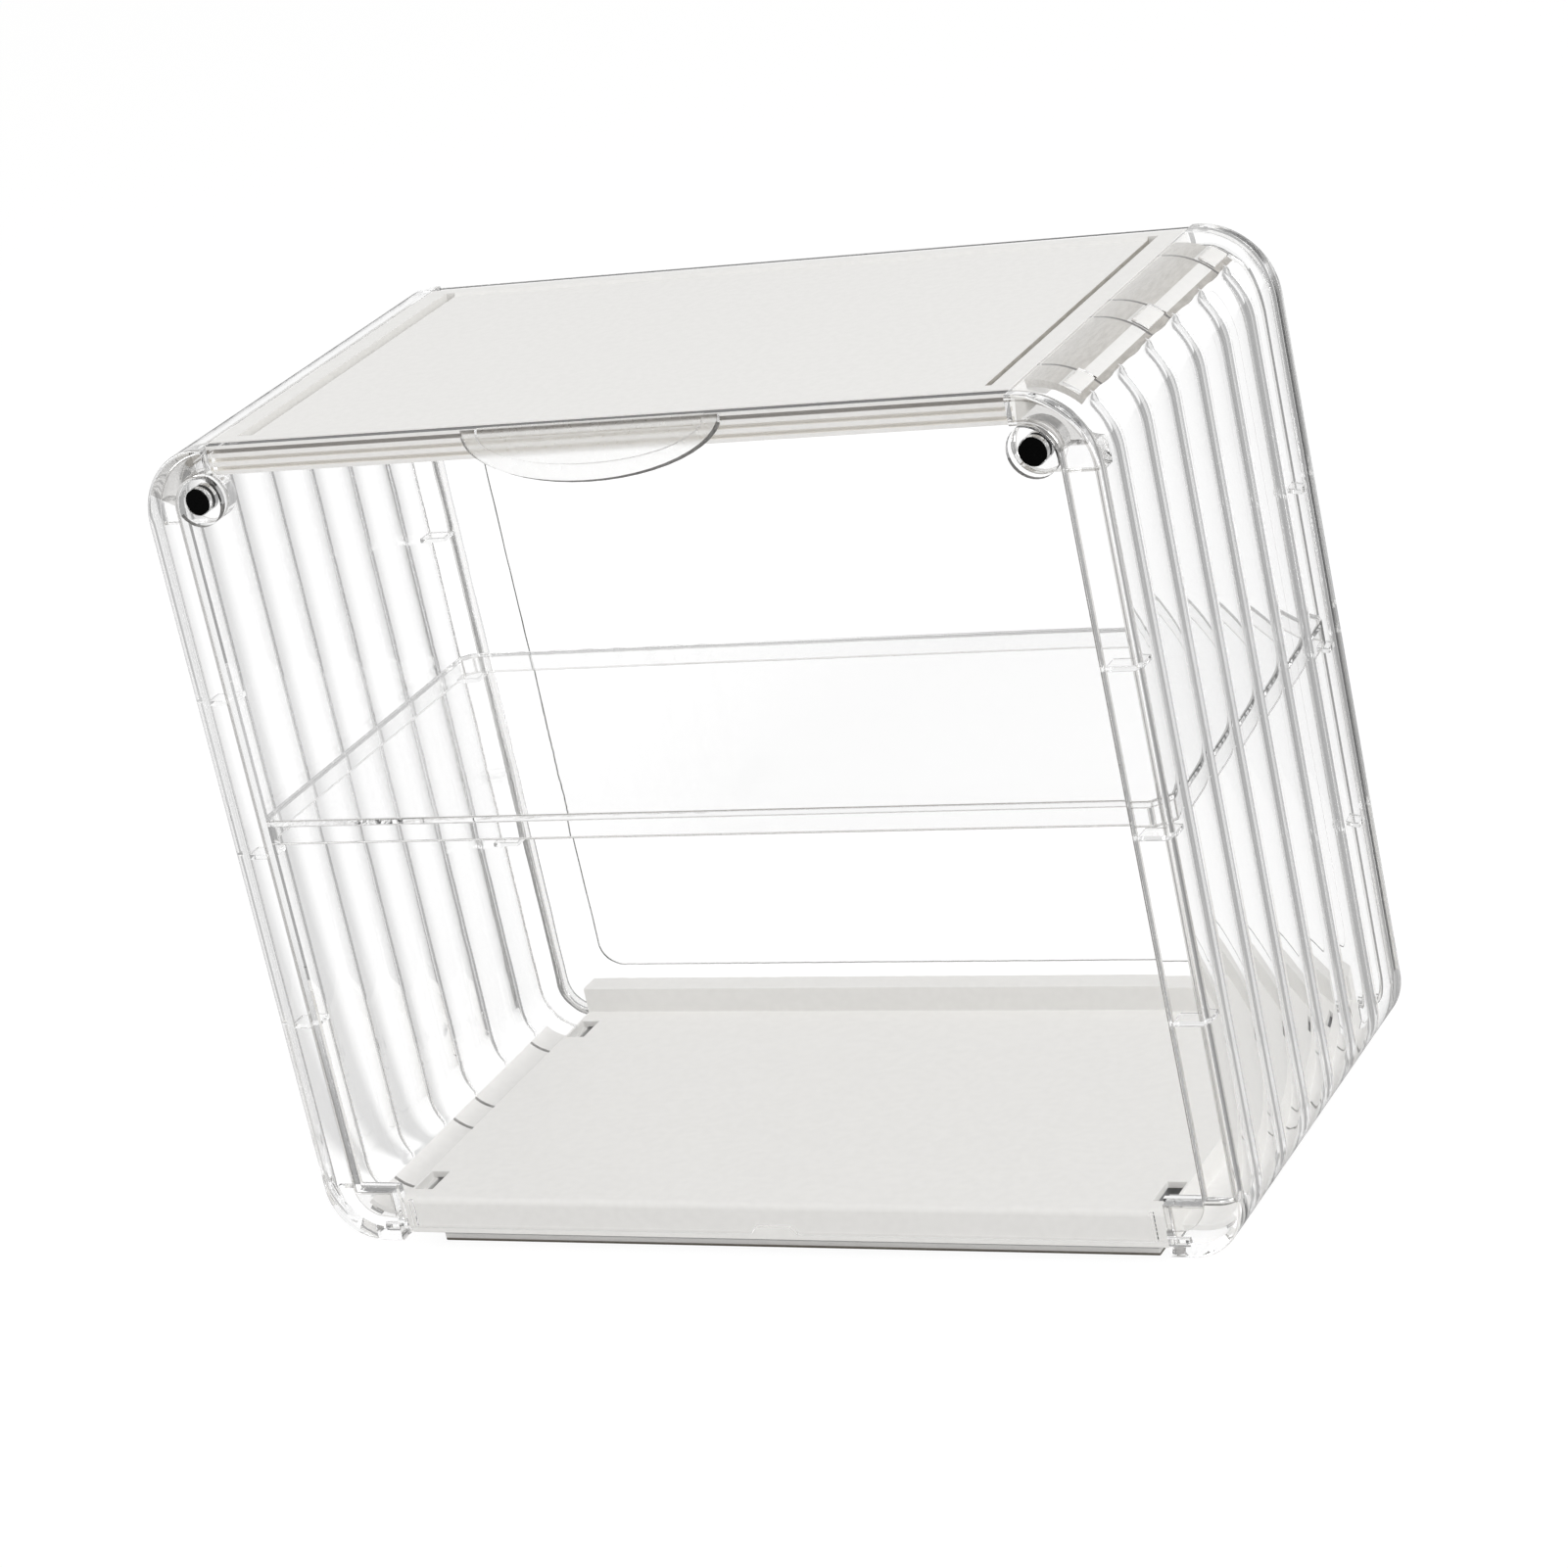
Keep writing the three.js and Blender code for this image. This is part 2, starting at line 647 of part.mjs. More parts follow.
// The case stands centred over the origin, the pull's reach included.
const reach = new THREE.Box3().setFromObject(group);
group.children.forEach((mesh) => mesh.geometry.translate(0, -(reach.min.y + reach.max.y) / 2, 0));

export default group;
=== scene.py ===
import json
import math

import bmesh
import bpy
from mathutils import Matrix, Vector

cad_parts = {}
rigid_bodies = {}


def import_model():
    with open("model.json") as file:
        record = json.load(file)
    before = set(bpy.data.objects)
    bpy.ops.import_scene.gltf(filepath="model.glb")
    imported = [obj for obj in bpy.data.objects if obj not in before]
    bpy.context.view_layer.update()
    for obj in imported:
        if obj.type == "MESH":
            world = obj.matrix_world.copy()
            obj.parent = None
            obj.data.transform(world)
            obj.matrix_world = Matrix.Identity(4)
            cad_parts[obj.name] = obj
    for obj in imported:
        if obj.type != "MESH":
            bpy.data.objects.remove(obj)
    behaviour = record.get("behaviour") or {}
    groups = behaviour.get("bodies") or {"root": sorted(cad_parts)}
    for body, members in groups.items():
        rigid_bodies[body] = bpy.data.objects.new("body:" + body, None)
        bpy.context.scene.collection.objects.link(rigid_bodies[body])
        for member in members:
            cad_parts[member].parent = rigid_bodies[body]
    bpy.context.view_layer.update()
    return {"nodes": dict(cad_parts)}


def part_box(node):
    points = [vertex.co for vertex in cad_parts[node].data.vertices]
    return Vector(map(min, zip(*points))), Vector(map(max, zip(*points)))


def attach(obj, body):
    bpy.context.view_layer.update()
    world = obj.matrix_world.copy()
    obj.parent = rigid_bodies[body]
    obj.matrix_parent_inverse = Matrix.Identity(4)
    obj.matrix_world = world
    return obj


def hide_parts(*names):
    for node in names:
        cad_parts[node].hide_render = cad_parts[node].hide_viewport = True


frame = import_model()
scene = bpy.context.scene
scene.view_settings.view_transform = "Standard"
scene.cycles.max_bounces = 64
scene.cycles.glossy_bounces = 48
scene.cycles.transmission_bounces = 48

# Sizes are in millimetres, and y counts from the front of the posts towards the back.
MM = 0.001
GAP = 0.3


def box_of(node):
    """Lowest and highest corner of a CAD piece."""
    return [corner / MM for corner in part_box(node)]


SIDE_LOW, SIDE_HIGH = box_of("right_side_panel")
BACK_LOW, BACK_HIGH = box_of("back_panel")
MAGNET_LOW, MAGNET_HIGH = box_of("right_frame_magnet")
FRONT = SIDE_LOW.y
HALF, HEIGHT, LIFT = SIDE_HIGH.x, SIDE_HIGH.z, SIDE_LOW.z
DEPTH = SIDE_HIGH.y - FRONT
PANEL_FRONT = box_of("base_panel")[0].y - FRONT

# Side panels
SKIN = 2.2
TOP_RADIUS, BOTTOM_RADIUS = 23.5, 18.0
SEAM = 130.5
POST_WIDTH, POST_DEPTH = 11.7, 5.6
LIP_DEPTH, OPENING_RADIUS = 9.0, 10.0
JAMB = HALF - POST_WIDTH
OUTER_ROUNDING, POST_ROUNDING, ROOT_ROUNDING, ROUNDING_STEPS = 1.0, 0.7, 0.8, 4
BACK_GROOVE_FRONT = BACK_LOW.y - FRONT - GAP
BACK_GROOVE_REAR = BACK_HIGH.y - FRONT + GAP
BACK_GROOVE_DEPTH = 2.5
# Top and bottom corner: upwards or downwards, radius and centre
CORNERS = (
    (1, TOP_RADIUS, HALF - TOP_RADIUS, HEIGHT - TOP_RADIUS),
    (-1, BOTTOM_RADIUS, HALF - BOTTOM_RADIUS, LIFT + BOTTOM_RADIUS),
)
CORNER_TURN = 3
LEAST_SLOPE = 1e-6
# Steps of the sweep between which the posts' front edge takes the edge tint: painted shade in grey on a
# slightly rough face
HAZE_AND_SHADE_FIRST, HAZE_AND_SHADE_LAST = 3, 21

# Flutes inside the side panels, which fade out between two angles of the corners
FLUTES, FLUTE_DEPTH, FLUTE_STEPS = 7, 1.7, 18
FLUTE_PITCH = DEPTH / FLUTES
RIDGE_HALF, RIDGE_RISE, RIDGE_TURN = 0.9, 0.5, 15
FADE_START, FADE_END = 43, 52

# Hinge blocks
HINGE_Y, HINGE_Z = 4.3, 9.6
BORE_RADIUS, BORE_LENGTH, BORE_X, BORE_SIDES = 1.6, 7.0, 133.0, 32
BLOCK_FRONT, BLOCK_REAR, BLOCK_HEIGHT = 0.1, 9.0, 17.0
BLOCK_INSET, BLOCK_SIDE_INSET, BLOCK_TURN, BLOCK_ROUNDING = 1.5, 1.6, 6, 0.6

# Magnet lugs
MAGNET_X = (MAGNET_LOW.x + MAGNET_HIGH.x) / 2
MAGNET_Z = (MAGNET_LOW.z + MAGNET_HIGH.z) / 2
LUG_RADIUS, LUG_FRONT, LUG_REAR, LUG_ROUNDING, LUG_SIDES = 8.0, 5.9, 11.4, 0.5, 64
POCKET_RADIUS, POCKET_FRONT, POCKET_REAR = 4.3, 5.0, 9.3
WEB_LOW, WEB_HIGH = (137.0, 5.95, 246.5), (152.7, 11.3, 254.3)

# Shelf rests
REST_TOPS = (189.5, 138.1, 80.2)
REST_THICKNESS, REST_FRONT, REST_REAR, REST_OUTER, REST_ROUNDING = 1.6, 4.8, 12.0, 153.6, 0.4

# Snap windows, as angles from the vertical and spans from the middle of the depth
WINDOW_START, WINDOW_END, WINDOW_TURN = 26, 40, 2
WINDOW_SPANS = ((-7, 7), (49.1, 61), (-61, -49.1))
WINDOW_OVER, WINDOW_UNDER = 1.0, 0.8
INNER_TONGUES = 55

# Top and base panels
FLOOR_HEIGHT = 18.2
RECESS_LEVEL = HEIGHT - 1
GROOVE_FLOOR = RECESS_LEVEL - 1.6
GROOVE_INNER, GROOVE_OUTER = 119.6, 123.0
REED_FRONT, REED_REAR, REED_HALF = 6.3, 7.7, 130
REED_LOW, REED_HIGH = HEIGHT - 10, HEIGHT - 1.5

# Finger pull
PULL_HALF, PULL_REACH, PULL_LEAN, PULL_DROP = 42.0, 16.7, math.radians(60), 1.6
PULL_ROOT, PULL_TOP = 4.3, HEIGHT - PULL_DROP
PULL_LOW, PULL_REAR, PULL_MARGIN, PULL_NECK, OUTER_RIM = HEIGHT - 30, 2.0, 2.0, 1.0, 0.9
PULL_FACING = Vector((0, -math.sin(PULL_LEAN), math.cos(PULL_LEAN)))
FIELD_HALF, FIELD_REACH, FIELD_START, FIELD_LEAD, FIELD_STEPS = 37.0, 11.2, -0.6, 2.0, 48
FIELD_FLOOR, FIELD_OPEN = 1.3, 4.0
DOOR_FRONT, DOOR_REAR = 2.2, 5.0

# How edges are softened, and how closely a face has to lie to be painted
SHARP_ANGLE, SMOOTH_ANGLE, MERGE_ANGLE = 28, 32, 0.5
NORMAL_WEIGHT = 90
WELD = 1e-6
TOUCH, LEVEL_MARGIN, SEAM_MARGIN, FLOOR_MARGIN = 0.1, 0.02, 0.2, 0.3
WALL_MARGIN, FOOT_MARGIN, RIM_MARGIN = 0.8, 1.0, 2.0
SLOPED, UPRIGHT, STEEP, LEVEL = 0.3, 0.5, 0.7, 0.9

# Light and background, with places in metres
SKY_REFLECTION, PANE_GAIN = 0.95, 0.13
FRONT_REFLECTION, BACK_REFLECTION = 0.95, 0.28
# Painted shade on the ground to the left of the case, seen only through the clear pieces
LEFT_SHADE = 0.4
BOUNCE_GAIN = 0.05
HORIZON, ZENITH = (0.44, 0.425, 0.405, 1), (0.70, 0.70, 0.70, 1)
FLOOR_GLOW, WHITE_LEVEL, FLOOR_SIZE = 0.9, 1.03, 12
AHEAD_NEAR, AHEAD_FAR, ASIDE_FAR, ASIDE_NEAR = -0.3, -0.1, -0.35, -0.15
SHADE_START, SHADE_FULL, SHADE_FADE, SHADE_END = (math.radians(a) for a in (33, 56, 75, 105))
LAMP_AIM = Vector((0, 0, 0.13))

# Camera of the photograph
AZIMUTH, ELEVATION, ROLL = (math.radians(a) for a in (28.840, 20.302, -12.363))
CAMERA_PLACE = (665.5, -1138.5, 639.2)
FOCAL_PIXELS, IMAGE_PIXELS, SENSOR = 4908.2, 1601, 36
CLIP_END = 50

# Tones and textures
PURE_WHITE = (1, 1, 1, 1)
OFF_WHITE, OFF_WHITE_DARK = (0.87, 0.865, 0.85, 1), (0.845, 0.84, 0.825, 1)
# Paler copy of the white: painted light on the base's tongues and the foot.
PALE_WHITE, PALE_WHITE_DARK = (0.96, 0.955, 0.945, 1), (0.93, 0.925, 0.915, 1)
NOISE_LOW, NOISE_HIGH = 0.3, 0.7
ACRYLIC_IOR = 1.49
CLOUD_SIZE = 1.5
WAVE_SIZE, WAVE_STRETCH, WAVE_HEIGHT = 14, (1, 1, 2), 0.02
SHEEN_SIZE, SPARK_SIZE, SPARK_HEIGHT = 0.8, 0.35, 0.006


def maths(tree, operation, *values):
    node = tree.nodes.new("ShaderNodeMath")
    node.operation = operation
    for socket, value in zip(node.inputs, values):
        if isinstance(value, (int, float)):
            socket.default_value = value
        else:
            tree.links.new(value, socket)
    return node.outputs[0]


def mix_colour(tree, factor, start, end):
    node = tree.nodes.new("ShaderNodeMix")
    node.data_type = "RGBA"
    tree.links.new(factor, node.inputs["Factor"])
    colours = [socket for socket in node.inputs if socket.type == "RGBA"]
    for socket, value in zip(colours, (start, end)):
        if isinstance(value, tuple):
            socket.default_value = value
        else:
            tree.links.new(value, socket)
    return next(socket for socket in node.outputs if socket.type == "RGBA")


def map_range(tree, value, from_low, from_high, low, high):
    node = tree.nodes.new("ShaderNodeMapRange")
    node.interpolation_type = "SMOOTHSTEP"
    tree.links.new(value, node.inputs["Value"])
    sockets = ("From Min", "From Max", "To Min", "To Max")
    for socket, number in zip(sockets, (from_low, from_high, low, high)):
        node.inputs[socket].default_value = number
    return node.outputs[0]


def axes(tree, space):
    """The three coordinates of a texture space."""
    place = tree.nodes.new("ShaderNodeTexCoord")
    split = tree.nodes.new("ShaderNodeSeparateXYZ")
    tree.links.new(place.outputs[space], split.inputs[0])
    return split.outputs


def grain(tree, size, stretch=(1, 1, 1), detail=2):
    """Noise whose features are about size millimetres across, longer along a stretched axis."""
    place = tree.nodes.new("ShaderNodeTexCoord")
    mapping = tree.nodes.new("ShaderNodeMapping")
    mapping.inputs["Scale"].default_value = tuple(1 / s for s in stretch)
    noise = tree.nodes.new("ShaderNodeTexNoise")
    noise.inputs["Scale"].default_value = 1 / (size * MM)
    noise.inputs["Detail"].default_value = detail
    tree.links.new(place.outputs["Object"], mapping.inputs["Vector"])
    tree.links.new(mapping.outputs[0], noise.inputs["Vector"])
    return noise.outputs["Fac"]


def node_material(name):
    material = bpy.data.materials.new(name)
    material.use_nodes = True
    tree = material.node_tree
    return material, tree, tree.nodes["Principled BSDF"]


def roughen(tree, shader, noise, low, high):
    roughness = map_range(tree, noise, NOISE_LOW, NOISE_HIGH, low, high)
    tree.links.new(roughness, shader.inputs["Roughness"])


def emboss(tree, shader, noise, height):
    bump = tree.nodes.new("ShaderNodeBump")
    bump.inputs["Distance"].default_value = height * MM
    bump.inputs["Strength"].default_value = 1
    tree.links.new(noise, bump.inputs["Height"])
    tree.links.new(bump.outputs[0], shader.inputs["Normal"])


def clear_plastic(name, tint, smooth, rough):
    """Moulded acrylic with faint flow waves along the height."""
    material, tree, shader = node_material(name)
    shader.inputs["Base Color"].default_value = tint
    shader.inputs["IOR"].default_value = ACRYLIC_IOR
    shader.inputs["Transmission Weight"].default_value = 1
    roughen(tree, shader, grain(tree, CLOUD_SIZE), smooth, rough)
    emboss(tree, shader, grain(tree, WAVE_SIZE, WAVE_STRETCH), WAVE_HEIGHT)
    return material


def white_plastic(name, pale, dark, size, stretch=(1, 1, 1)):
    """Satin moulding, cloudy between two tones, with a fine spark-eroded grain."""
    material, tree, shader = node_material(name)
    cloud = map_range(tree, grain(tree, size, stretch), NOISE_LOW, NOISE_HIGH, 0, 1)
    tree.links.new(mix_colour(tree, cloud, pale, dark), shader.inputs["Base Color"])
    roughen(tree, shader, grain(tree, SHEEN_SIZE), low=0.36, high=0.48)
    emboss(tree, shader, grain(tree, SPARK_SIZE), SPARK_HEIGHT)
    return material


def graded_plastic(name, stops):
    """Moulding whose tone changes with its height, given as pairs of height and tone."""
    material, tree, shader = node_material(name)
    height = axes(tree, "Object")["Z"]
    tone = stops[0][1]
    for (low, _), (high, colour) in zip(stops, stops[1:]):
        tone = mix_colour(tree, map_range(tree, height, low * MM, high * MM, 0, 1), tone, colour)
    tree.links.new(tone, shader.inputs["Base Color"])
    roughen(tree, shader, grain(tree, SHEEN_SIZE), low=0.4, high=0.55)
    emboss(tree, shader, grain(tree, SPARK_SIZE), SPARK_HEIGHT)
    return material


def black_magnet(name, dark, pale):
    """Plated disc with a dull, slightly pitted face."""
    material, tree, shader = node_material(name)
    shader.inputs["Specular IOR Level"].default_value = 0.03
    pits = map_range(tree, grain(tree, size=0.5, detail=4), from_low=0.55, from_high=0.75, low=0, high=1)
    tree.links.new(mix_colour(tree, pits, dark, pale), shader.inputs["Base Color"])
    roughen(tree, shader, grain(tree, size=0.6), low=0.5, high=0.7)
    emboss(tree, shader, grain(tree, size=0.4), height=0.01)
    return material


CLEAR = clear_plastic("clear_plastic", tint=PURE_WHITE, smooth=0, rough=0.006)
# Edge tint: painted shade, a grey on the bevels of the clear pieces and on the front posts.
EDGE = clear_plastic("clear_plastic_edge", tint=(0.48, 0.47, 0.455, 1), smooth=0.02, rough=0.08)
# Rim tint: painted shade, a lighter grey on the rear posts, the fronts of the hinge blocks and the back
# panel's bevels.
RIM = clear_plastic("clear_plastic_rim", tint=(0.80, 0.795, 0.785, 1), smooth=0.01, rough=0.04)
SATIN = clear_plastic("clear_plastic_satin", tint=(0.97, 0.97, 0.965, 1), smooth=0.25, rough=0.4)
# Opaque dark walls on the clear door: painted shade on the pull's outer rim and under the magnet bosses.
CONTOUR = white_plastic("clear_plastic_contour", pale=(0.20, 0.195, 0.19, 1),
                        dark=(0.10, 0.098, 0.095, 1), size=0.9)
# Opaque grey: painted shade on the pull's inner rim and in the gaps between the base's tongues.
FAINT = white_plastic("clear_plastic_faint", pale=(0.62, 0.61, 0.60, 1),
                      dark=(0.45, 0.445, 0.44, 1), size=0.9)
WHITE = white_plastic("white_plastic", pale=OFF_WHITE, dark=OFF_WHITE_DARK, size=2.5)
# Paler white: painted light on the base's tongues.
BRIGHT = white_plastic("white_plastic_bright", pale=PALE_WHITE, dark=PALE_WHITE_DARK, size=2.5)
# Painted shade, streaky, on the tongues under the lip and in the grooves beside the recess.
SHADED = white_plastic("white_plastic_shaded", pale=(0.54, 0.52, 0.485, 1),
                       dark=(0.42, 0.40, 0.365, 1), size=0.9, stretch=(1, 6, 1))
# Painted shade, darker, on the tongues beyond the snap windows.
TAIL = white_plastic("white_plastic_tail", pale=(0.40, 0.375, 0.34, 1),
                     dark=(0.28, 0.26, 0.23, 1), size=1.6, stretch=(1, 3, 1))
# Painted shadow in the gaps between the tongues.
SHADOW = white_plastic("white_plastic_gap_shadow", pale=(0.16, 0.145, 0.125, 1),
                       dark=(0.09, 0.08, 0.07, 1), size=1.1, stretch=(1, 6, 1))
# Painted shade in the reeds of the front rail: dark at the top, paler than the white lower down.
REED = graded_plastic("white_plastic_reed", [
    (265.2, (0.93, 0.91, 0.87, 1)),
    (269.5, (0.36, 0.335, 0.31, 1)),
])
# Painted shadow on the foot at the ground and under the tray, with painted light between.
FOOT = graded_plastic("white_plastic_foot", [
    (0.7, (0.17, 0.15, 0.12, 1)),
    (1.2, PALE_WHITE),
    (2.3, PALE_WHITE),
    (2.8, (0.30, 0.30, 0.31, 1)),
])
BLACK = black_magnet("black_magnet", dark=(0.001, 0.001, 0.001, 1), pale=(0.005, 0.005, 0.005, 1))
CLEAR_SLOT, EDGE_SLOT, RIM_SLOT = 0, 1, 2


def to_object(name, bm, material):
    mesh = bpy.data.meshes.new(name)
    bm.to_mesh(mesh)
    bm.free()
    mesh.materials.append(material)
    # Clear pieces carry the edge and rim tints, both painted shade, in their next slots.
    if material == CLEAR:
        mesh.materials.append(EDGE)
        mesh.materials.append(RIM)
    obj = bpy.data.objects.new(name, mesh)
    scene.collection.objects.link(obj)
    return obj


def paint(obj, face, material):
    if material.name not in obj.data.materials:
        obj.data.materials.append(material)
    face.material_index = obj.data.materials.find(material.name)


def shade(obj):
    obj.data.shade_smooth()
    obj.data.set_sharp_from_angle(angle=math.radians(SMOOTH_ANGLE))


def even_normals(obj):
    modifier = obj.modifiers.new("normals", "WEIGHTED_NORMAL")
    modifier.mode = "FACE_AREA"
    modifier.weight = NORMAL_WEIGHT
    modifier.keep_sharp = True
    bake_modifiers(obj)


def bake_modifiers(obj):
    graph = bpy.context.evaluated_depsgraph_get()
    mesh = bpy.data.meshes.new_from_object(obj.evaluated_get(graph))
    obj.modifiers.clear()
    obj.data = mesh


def combine(target, tool, operation):
    modifier = target.modifiers.new("combine", "BOOLEAN")
    modifier.operation = operation
    modifier.solver = "EXACT"
    modifier.object = tool
    bake_modifiers(target)
    bpy.data.objects.remove(tool)


def put(x, y, z):
    return Vector((x, y + FRONT, z)) * MM


def local(face):
    """Middle of a face in the units and the frame of put."""
    return face.center / MM - Vector((0, FRONT, 0))


def around(cx, cz, radius, up, angle):
    """Point on a circle at an angle from the vertical, upwards or downwards."""
    turn = math.radians(angle)
    return cx + radius * math.sin(turn), cz + up * radius * math.cos(turn)


def bevel_edges(bm, edges, width, slot):
    bmesh.ops.bevel(bm, geom=edges, offset=width * MM, segments=3, profile=0.5, affect="EDGES", material=slot)


def box_into(bm, low, high, rounding):
    corners = bmesh.ops.create_cube(bm, size=1)["verts"]
    for corner in corners:
        corner.co = put(*(a if side < 0 else b for side, a, b in zip(corner.co, low, high)))
    edges = list({edge for corner in corners for edge in corner.link_edges})
    bevel_edges(bm, edges, rounding, CLEAR_SLOT)


def prism_into(bm, front, rear):
    """Closed solid between two rings of points, its first two faces the ends."""
    front = [bm.verts.new(point) for point in front]
    rear = [bm.verts.new(point) for point in rear]
    faces = [bm.faces.new(front), bm.faces.new(list(reversed(rear)))]
    for i in range(len(front)):
        j = (i + 1) % len(front)
        faces.append(bm.faces.new((front[j], front[i], rear[i], rear[j])))
    bmesh.ops.recalc_face_normals(bm, faces=faces)
    return faces


def slab_into(bm, outline, front, rear, rounding=0, slot=CLEAR_SLOT):
    faces = prism_into(bm, [put(x, front, z) for x, z in outline], [put(x, rear, z) for x, z in outline])
    faces[0].material_index = slot
    if rounding:
        # Rounded edges take the edge tint, a painted shade.
        bevel_edges(bm, [*faces[0].edges, *faces[1].edges], rounding, EDGE_SLOT)


def disc_outline(x, z, radius):
    return [(x + radius * math.cos(turn), z + radius * math.sin(turn))
            for turn in (2 * math.pi * i / LUG_SIDES for i in range(LUG_SIDES))]


def arc(y, depth, radius, start, end):
    turns = [math.radians(start + (end - start) * i / ROUNDING_STEPS) for i in range(ROUNDING_STEPS + 1)]
    return [(y + radius * math.cos(turn), depth + radius * math.sin(turn)) for turn in turns]


def flute_stops(low, high):
    """Depths at which the flutes are drawn, closer together on the ridges between them."""
    stops = {FLUTE_PITCH * (k + i / FLUTE_STEPS) for k in range(FLUTES) for i in range(1, FLUTE_STEPS)}
    swings = [RIDGE_HALF * math.sin(math.radians(a)) for a in range(-90, 91, RIDGE_TURN)]
    stops |= {FLUTE_PITCH * k + swing for k in range(1, FLUTES) for swing in swings}
    return sorted([low, high] + [y for y in stops if low < y < high])


def inner_depth(y, share):
    """Depth of the inner face below the outer one: hollow flutes with a fine bead on each ridge."""
    across = 2 * (y % FLUTE_PITCH) / FLUTE_PITCH - 1
    off = (1 - abs(across)) * FLUTE_PITCH / 2 / RIDGE_HALF
    bead = math.sqrt(max(1 - off * off, 0))
    return SKIN + share * (FLUTE_DEPTH * across * across + RIDGE_RISE * bead)


def cross_section(share, reach):
    """Closed outline in depth and distance below the outer face, and the material slot after each point."""
    def inner(y):
        return inner_depth(y, share)

    rear = DEPTH - POST_DEPTH
    rear_root, front_root = rear - ROOT_ROUNDING, POST_DEPTH + ROOT_ROUNDING
    floor_depth, end_depth = reach - BACK_GROOVE_DEPTH, reach - POST_ROUNDING
    outer_edges = [
        arc(OUTER_ROUNDING, OUTER_ROUNDING, OUTER_ROUNDING, 180, 270),
        arc(DEPTH - OUTER_ROUNDING, OUTER_ROUNDING, OUTER_ROUNDING, 270, 360),
    ]
    rear_post = [
        arc(DEPTH - POST_ROUNDING, end_depth, POST_ROUNDING, 0, 90),
        [(BACK_GROOVE_REAR, reach), (BACK_GROOVE_REAR, floor_depth),
         (BACK_GROOVE_FRONT, floor_depth), (BACK_GROOVE_FRONT, reach)],
        arc(rear + POST_ROUNDING, end_depth, POST_ROUNDING, 90, 180),
        arc(rear_root, inner(rear_root) + ROOT_ROUNDING, ROOT_ROUNDING, 0, -90)[:-1],
    ]
    flutes = [[(y, inner(y)) for y in reversed(flute_stops(front_root, rear_root))]]
    front_post = [
        arc(front_root, inner(front_root) + ROOT_ROUNDING, ROOT_ROUNDING, 270, 180)[1:],
        arc(POST_DEPTH - POST_ROUNDING, end_depth, POST_ROUNDING, 0, 90),
        arc(POST_ROUNDING, end_depth, POST_ROUNDING, 90, 180),
    ]
    loop, slots = [], []
    # The rear post takes the rim tint and the front post the edge tint, both painted shade.
    for runs, slot in ((outer_edges, CLEAR_SLOT), (rear_post, RIM_SLOT),
                       (flutes, CLEAR_SLOT), (front_post, EDGE_SLOT)):
        for run in runs:
            loop += run
            slots += [slot] * (len(run) - 1) + [CLEAR_SLOT]
    return loop, slots


def flange_reach(x, z, nx, nz, up):
    """Distance from the outer face inwards to the opening framed by the posts."""
    edge_z = HEIGHT - LIP_DEPTH if up > 0 else LIFT + LIP_DEPTH
    cx, cz = JAMB - OPENING_RADIUS, edge_z - up * OPENING_RADIUS
    if abs(nz) > LEAST_SLOPE:
        to_edge = (z - edge_z) / nz
        if x - nx * to_edge <= cx:
            return to_edge
    if abs(nx) > LEAST_SLOPE:
        to_jamb = (x - JAMB) / nx
        if up * (z - nz * to_jamb - cz) <= 0:
            return to_jamb
    along = (x - cx) * nx + (z - cz) * nz
    beyond = (x - cx) ** 2 + (z - cz) ** 2 - OPENING_RADIUS ** 2
    return along - math.sqrt(max(along * along - beyond, 0))


def stations():
    """Places down the side profile: x, z, outward direction, share of the flutes, reach of the posts."""
    rows = []
    for up, radius, cx, cz in CORNERS:
        corner = [(SEAM, cz + up * radius, 0, up, 0)]
        for angle in range(0, 91, CORNER_TURN):
            fade = min(max((angle - FADE_START) / (FADE_END - FADE_START), 0), 1)
            direction = around(0, 0, 1, up, angle)
            corner.append((*around(cx, cz, radius, up, angle), *direction, fade * fade * (3 - 2 * fade)))
        corner = [(*row, flange_reach(*row[:4], up)) for row in corner]
        rows += corner if up > 0 else reversed(corner)
    return rows


def swept_side():
    bm = bmesh.new()
    rings = []
    for x, z, nx, nz, share, reach in stations():
        loop, slots = cross_section(share, reach)
        rings.append([bm.verts.new(put(x - nx * depth, y, z - nz * depth)) for y, depth in loop])
    count = len(slots)
    for step, (a, b) in enumerate(zip(rings, rings[1:])):
        for j in range(count):
            k = (j + 1) % count
            face = bm.faces.new((a[j], b[j], b[k], a[k]))
            # Between these steps the posts' front edge takes the edge tint, a painted shade on a slightly
            # rough face.
            hazy_and_shaded = j == count - 1 and HAZE_AND_SHADE_FIRST <= step <= HAZE_AND_SHADE_LAST
            face.material_index = EDGE_SLOT if hazy_and_shaded else slots[j]
    bm.faces.new(rings[0])
    bm.faces.new(list(reversed(rings[-1])))
    return bm


def side_features():
    """Hinge block and magnet lug."""
    bm = bmesh.new()
    up, radius, cx, cz = CORNERS[1]
    round_end = [around(cx, cz, radius - BLOCK_INSET, up, a) for a in range(0, 90, BLOCK_TURN)]
    top = LIFT + BLOCK_HEIGHT
    block = [(SEAM, LIFT + BLOCK_INSET), *round_end, (HALF - BLOCK_SIDE_INSET, top), (SEAM, top)]
    # The hinge block's front takes the rim tint and its rounded edges the edge tint, both painted shade.
    slab_into(bm, block, BLOCK_FRONT, BLOCK_REAR, BLOCK_ROUNDING, RIM_SLOT)
    slab_into(bm, disc_outline(MAGNET_X, MAGNET_Z, LUG_RADIUS), LUG_FRONT, LUG_REAR, LUG_ROUNDING)
    return bm


